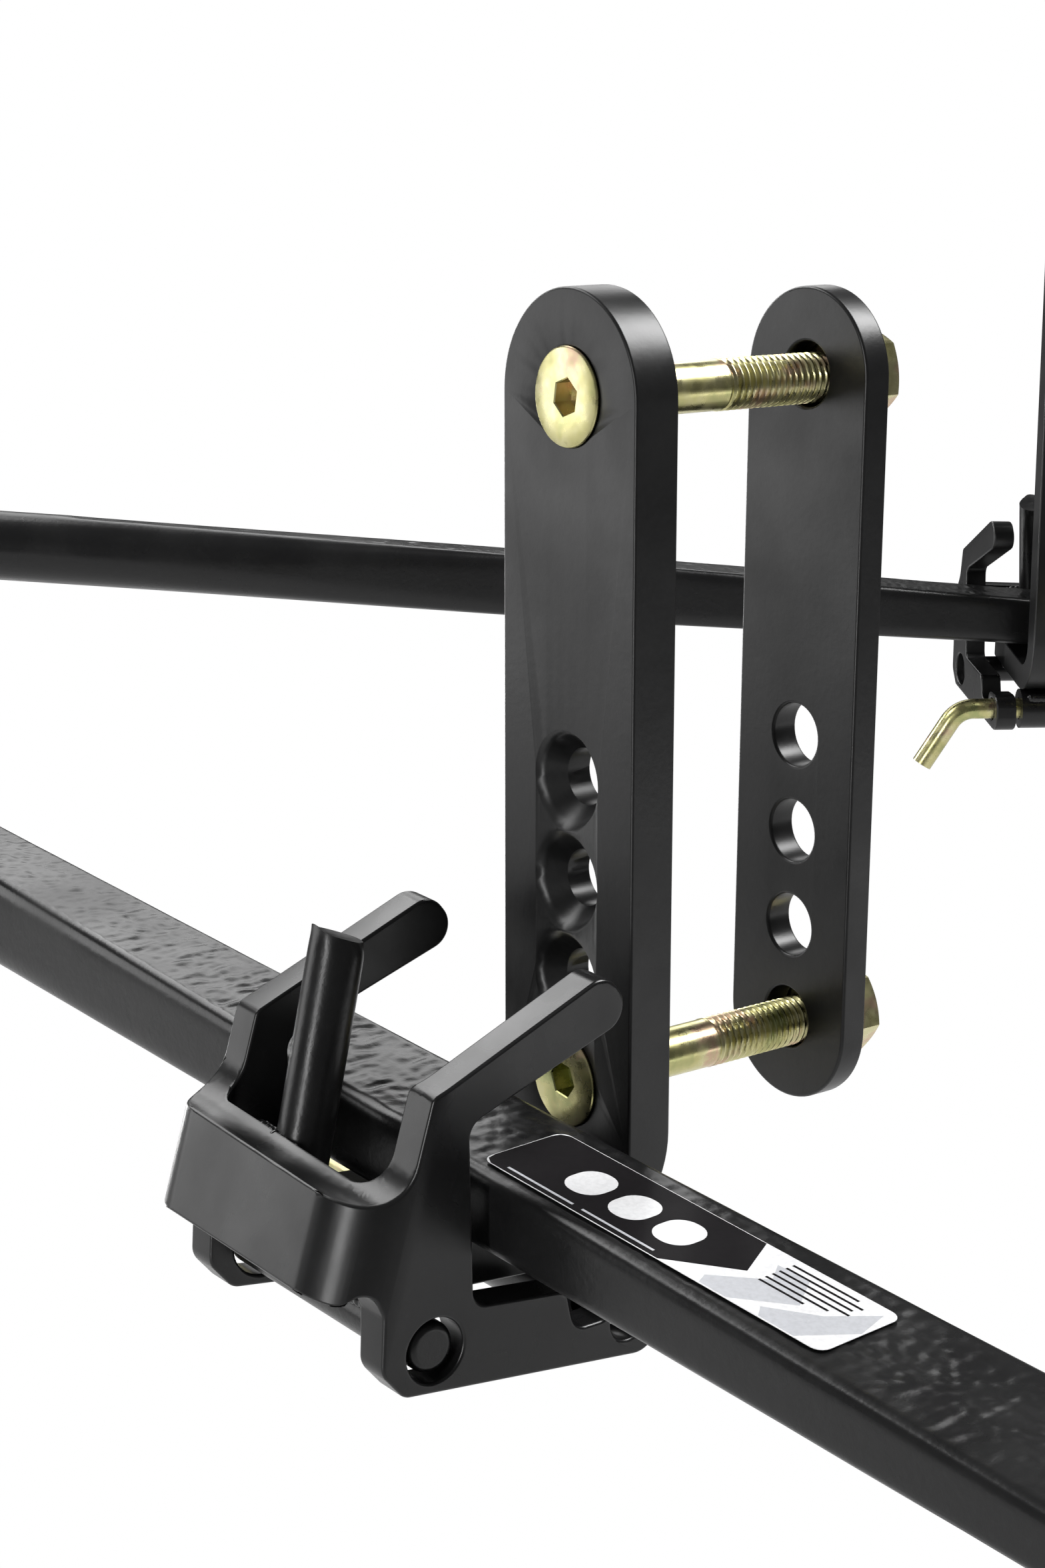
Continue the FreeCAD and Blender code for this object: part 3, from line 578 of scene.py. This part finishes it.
# ---- welds ----
def weld(name, points, radius, matrix, body, ripple=2.2):
    """A bead laid along points as a row of overlapping crescents, a little uneven."""
    path = [Vector(p) for p in points]
    rings = []
    travelled = 0.0
    step = 0.45
    count = 14
    for start, finish in zip(path, path[1:]):
        direction = (finish - start).normalized()
        side = direction.orthogonal().normalized()
        other = direction.cross(side)
        length = (finish - start).length
        for k in range(int(length / step)):
            spot = start + direction * (k * step)
            phase = ((travelled + k * step) / ripple) % 1.0
            size = radius * (0.86 + 0.16 * math.sin(math.pi * phase) + 0.10 * noise.noise(spot / 3.0))
            ring = []
            for i in range(count):
                angle = 2 * math.pi * i / count
                ring.append(spot + (side * math.cos(angle) + other * math.sin(angle)) * size)
            rings.append(ring)
        travelled += length
    total = len(rings)
    for k, ring in enumerate(rings):
        end = min(k, total - 1 - k) / 5.0
        if end < 1.0:
            middle = sum(ring, Vector()) / count
            scale = math.sqrt(max(0.02, 1 - (1 - end) ** 2))
            rings[k] = [middle + (point - middle) * scale for point in ring]
    verts, faces = loft([[tuple(p) for p in ring] for ring in rings])
    return add_mesh(name, verts, faces, matrix, body, WELD_COAT, 70.0)


def band_point(x, depth, rise):
    """A point on the yoke's band: depth behind its front face, rise along it."""
    y = YOKE_FACE[0] + depth * math.cos(YOKE_TILT) + rise * math.sin(YOKE_TILT)
    z = YOKE_FACE[1] - depth * math.sin(YOKE_TILT) + rise * math.cos(YOKE_TILT)
    return Vector((x, y, z))


def yoke_body(side):
    """The left yoke turns; the right one is locked to its bracket."""
    return "yoke_left" if side == "left" else "bracket_right"


def make_bracket_welds(side):
    """The beads round the post's foot, and those that hold the rod and the tube under the shelf."""
    body = yoke_body(side)
    matrix = BRACKET[side]
    blobs = [(-26.0, 11.6, -1.0), (-21.0, 11.8, 0.0), (-16.0, 11.0, 0.9), (-10.0, 10.4, 0.9),
             (-4.0, 10.6, 0.0), (2.0, 11.6, -1.8)]
    weld("post_weld_" + side, [band_point(*blob) for blob in blobs], 2.7, matrix, body)
    for number, x in enumerate((-14.3, -0.6)):
        line = [band_point(x + 2.5 * number - 0.5, 11.0, -5.0),
                band_point(x + 2.4 + 2.5 * number, 11.0, -23.0)]
        weld("post_side_weld_%d_%s" % (number, side), line, 2.3, matrix, body)
    for number, (y, z) in enumerate(((-73.0, -200.0), (-61.6, -202.2))):
        line = [(-24.0, y, z), (24.0, y, z)]
        weld("rod_weld_%d_%s" % (number, side), line, 2.4, matrix, "bracket_" + side)
    for number, (y, z) in enumerate(((-20.6, -206.8), (-4.2, -207.0))):
        line = [(-23.5, y, z), (23.5, y, z)]
        weld("tube_weld_%d_%s" % (number, side), line, 2.3, matrix, "bracket_" + side)


def make_post(side):
    """The lift post, cropped by a shear that spread its end and left a burr."""
    foot = band_point(POST_SHIFT - math.tan(POST_LEAN) * POST_FOOT, YOKE_THICK + POST_RADIUS, POST_FOOT)
    top = band_point(POST_SHIFT - math.tan(POST_LEAN) * POST_TOP, YOKE_THICK + POST_RADIUS, POST_TOP)
    axis = (top - foot).normalized()
    front = Vector((-0.8, -0.6, 0.0)).cross(axis).cross(axis).normalized() * -1
    across = axis.cross(front)
    length = (top - foot).length
    count = 48
    rings = []
    heights = [0.0] + [length * k / 12 for k in range(1, 11)]
    heights += [length - SHEARED_LENGTH + 0.7 * k for k in range(11)]
    for height in heights:
        near_end = max(0.0, 1 - (length - height) / SHEARED_LENGTH)
        ring = []
        for k in range(count):
            angle = 2 * math.pi * k / count
            spread = 1 + near_end ** 2 * (0.07 * math.cos(angle) - 0.13 * math.cos(2 * angle))
            lumps = noise.noise(Vector((3 * math.cos(angle), 3 * math.sin(angle), 5.0)))
            radius = POST_RADIUS * 0.99 * spread + 0.35 * near_end ** 3 * lumps
            burr = near_end ** 4 * max(0.0, math.cos(angle - 0.9)) ** 8 * 1.2
            drop = near_end ** 2 * (1.9 * (1 - math.cos(angle)) / 2 + 0.5)
            spot = foot + axis * (height - drop + burr)
            ring.append(spot + front * (radius * math.cos(angle)) + across * (radius * math.sin(angle)))
        rings.append(ring)
    last = rings[-1]
    middle = sum(last, Vector()) / count
    for scale, sink in ((0.86, 0.15), (0.5, 0.7), (0.15, 0.5)):
        rings.append([middle + (point - middle) * scale - axis * sink for point in last])
    verts, faces = loft([[tuple(point) for point in ring] for ring in rings])
    piece = add_mesh("lever_post_sheared_" + side, verts, faces, BRACKET[side], yoke_body(side),
                     ROD_COAT, 40.0)
    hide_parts("lever_post_" + side)


def head_weld(name, start, end, radius):
    weld(name, [start, end], radius, WORLD, "head", 2.8)


def make_head_welds():
    """The beads that join the sockets and the platform to the cheeks, and the shank to its upright."""
    for side, sign in (("left", -1), ("right", 1)):
        low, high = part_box("bar_socket_" + side)
        face = abs(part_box("head_cheek_" + side)[0 if side == "left" else 1].y) / MM
        middle = (low.x + high.x) / 2 / MM
        y = sign * (face + 1.4)
        for number, shift in enumerate((-9.0, 9.0)):
            foot = (middle + shift, y, low.z / MM + 4)
            top = (middle + shift, y, high.z / MM - 3)
            head_weld("socket_weld_%d_%s" % (number, side), foot, top, 3.6)
        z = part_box("ball_platform")[0].z / MM - 0.6
        y = sign * (face + 0.6)
        head_weld("platform_weld_" + side, (244, y, z), (330, y, z), 3.2)
    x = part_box("drawbar_upright")[1].x / MM - UPRIGHT_DEPTH - 0.4
    for number, z in enumerate((-SHANK_HALF, SHANK_HALF)):
        head_weld("shank_weld_%d" % number, (x, -21, z), (x, -9.5, z), 3.4)
        head_weld("shank_weld_%d_far" % number, (x, 9.5, z), (x, 21, z), 3.4)
    for number, y in enumerate((-SHANK_HALF, SHANK_HALF)):
        head_weld("shank_side_weld_%d" % number, (x, y, -20), (x, y, 20), 3.4)


# ---- CAD nodes that keep their shape ----
def finish_cad_nodes():
    """Gives the nodes that stay their materials and smooth shading; their points are left alone."""
    looks = {"tow_ball": CHROME, "ball_lock_washer": ZINC, "ball_nut": ZINC, "head_bolts": ZINC,
             "head_bolt_nuts": ZINC, "head_bolt_washers": ZINC, "tilt_pin": ZINC, "tilt_washers": ZINC,
             "tilt_block": COAT}
    for side in SIDES:
        looks.update({"thrust_washer_" + side: ZINC, "bar_clip_" + side: GOLD, "clamp_nuts_" + side: GOLD,
                      "lock_pin_" + side: GOLD, "lock_pin_tube_" + side: COAT,
                      "hinge_rod_" + side: ROD_COAT})
    for node, material in looks.items():
        mesh = frame["nodes"][node].data
        mesh.materials.clear()
        mesh.materials.append(material)
        mesh.shade_smooth()
        mesh.set_sharp_from_angle(angle=math.radians(30))


def finish_plates():
    """The coated plates, with the width of each one's rounded edges in millimetres."""
    for node in ("drawbar_shank", "drawbar_upright", "drawbar_gussets"):
        softened(node, "head", COAT, 0.8)
    softened("ball_platform", "head", COAT, 0.9)
    for side in SIDES:
        softened("head_cheek_" + side, "head", PLATE_COAT, 0.9)
        softened("bar_socket_" + side, "head", COAT, 0.5)
        softened("hanger_plate_" + side, "bracket_" + side, PLATE_COAT, 0.7, in_countersink(side))
        softened("backing_plate_" + side, "clamp_" + side, PLATE_COAT, 0.8)
        softened("yoke_" + side, yoke_body(side), COAT, 0.8)


# ---- stage, lights and camera ----
def lit_for_camera(tree, shaded, white, output):
    """Shows plain white to the camera and the shaded surface to everything else."""
    mix = tree.nodes.new("ShaderNodeMixShader")
    path = tree.nodes.new("ShaderNodeLightPath")
    tree.links.new(path.outputs["Is Camera Ray"], mix.inputs["Fac"])
    tree.links.new(shaded, mix.inputs[1])
    tree.links.new(white, mix.inputs[2])
    tree.links.new(mix.outputs["Shader"], output.inputs["Surface"])


def make_stage():
    """A plain pale floor a little below the hitch, which hangs from its drawbar."""
    low = CAD_BOX[0].z - FLOOR_DROP
    corners = sharp_box((-FLOOR_HALF, -FLOOR_HALF), (FLOOR_HALF, FLOOR_HALF))
    mesh = bpy.data.meshes.new("floor")
    mesh.from_pydata([(x, y, low) for x, y in corners], [], [(0, 1, 2, 3)])
    look = Look("floor")
    look.ramp(look.noise(300.0), [(0.3, (0.60, 0.60, 0.60)), (0.7, (0.64, 0.64, 0.64))],
              look.shader.inputs["Base Color"])
    look.set(Roughness=0.8, Specular_IOR_Level=0.1)
    white = look.node("ShaderNodeEmission")
    lit_for_camera(look.tree, look.shader.outputs["BSDF"], white.outputs["Emission"],
                   look.tree.nodes["Material Output"])
    mesh.materials.append(look.material)
    floor = bpy.data.objects.new("floor", mesh)
    bpy.context.scene.collection.objects.link(floor)


def make_world():
    """A dim white surround that the camera sees as plain white."""
    world = bpy.data.worlds.new("studio")
    world.use_nodes = True
    tree = world.node_tree
    dim = tree.nodes["Background"]
    dim.inputs["Color"].default_value = (1.0, 1.0, 1.0, 1.0)
    dim.inputs["Strength"].default_value = 0.12
    white = tree.nodes.new("ShaderNodeBackground")
    white.inputs["Color"].default_value = (1.0, 1.0, 1.0, 1.0)
    lit_for_camera(tree, dim.outputs["Background"], white.outputs["Background"], tree.nodes["World Output"])
    bpy.context.scene.world = world


def softbox(name, place, target, size, power):
    """A rectangular light that faces its target; size in metres and power in watts."""
    light = bpy.data.lights.new(name, "AREA")
    light.shape = "RECTANGLE"
    light.size, light.size_y = size
    light.energy = power
    lamp = bpy.data.objects.new(name, light)
    bpy.context.scene.collection.objects.link(lamp)
    lamp.location = place
    lamp.rotation_euler = (Vector(target) - Vector(place)).to_track_quat("-Z", "Y").to_euler()


def make_lights():
    """Soft boxes round the left bracket; directions are the bracket's own, distances are in metres."""
    centre = BRACKET["left"].translation
    turn = BRACKET["left"].to_3x3() * (1 / MM)
    boxes = [("front_panel", (-0.78, -0.60, -0.04), 1.5, (0.70, 0.62), 3.4),
             ("floor_glow", (0.70, 0.52, -0.55), 1.2, (1.0, 0.5), 2.7),
             ("back_low", (-0.79, 0.49, 0.37), 1.6, (0.9, 0.62), 4.4),
             ("top_left", (-0.72, -0.19, 0.67), 1.5, (1.5, 0.5), 15),
             ("top_back", (0.25, 0.60, 0.75), 1.4, (0.7, 0.6), 26),
             ("front_strip", (0.25, -0.96, -0.05), 1.5, (0.16, 1.3), 13),
             ("left_strip", (-0.97, 0.05, -0.10), 1.6, (0.25, 1.4), 13)]
    for name, direction, distance, size, power in boxes:
        place = centre + turn @ Vector(direction) * distance
        softbox(name, place, centre + Vector((0, 0, -0.09)), size, power)


def make_camera():
    """A long lens, set by its place from the left bracket."""
    data = bpy.data.cameras.new("camera")
    data.sensor_fit = "HORIZONTAL"
    data.sensor_width = 36.0
    data.lens = CAMERA_LENS
    data.clip_start = 0.02
    camera = bpy.data.objects.new("camera", data)
    bpy.context.scene.collection.objects.link(camera)
    camera.location = BRACKET["left"] @ CAMERA_OFFSET
    camera.rotation_euler = (math.pi / 2 + CAMERA_PITCH, 0.0, CAMERA_HEADING)
    bpy.context.scene.camera = camera


finish_plates()
finish_cad_nodes()
for which in SIDES:
    make_bar(which)
    make_label(which)
    make_bolts(which)
    make_post(which)
    make_bracket_welds(which)
make_head_welds()
make_stage()
make_world()
make_lights()
make_camera()
bpy.context.scene.view_settings.view_transform = "Standard"
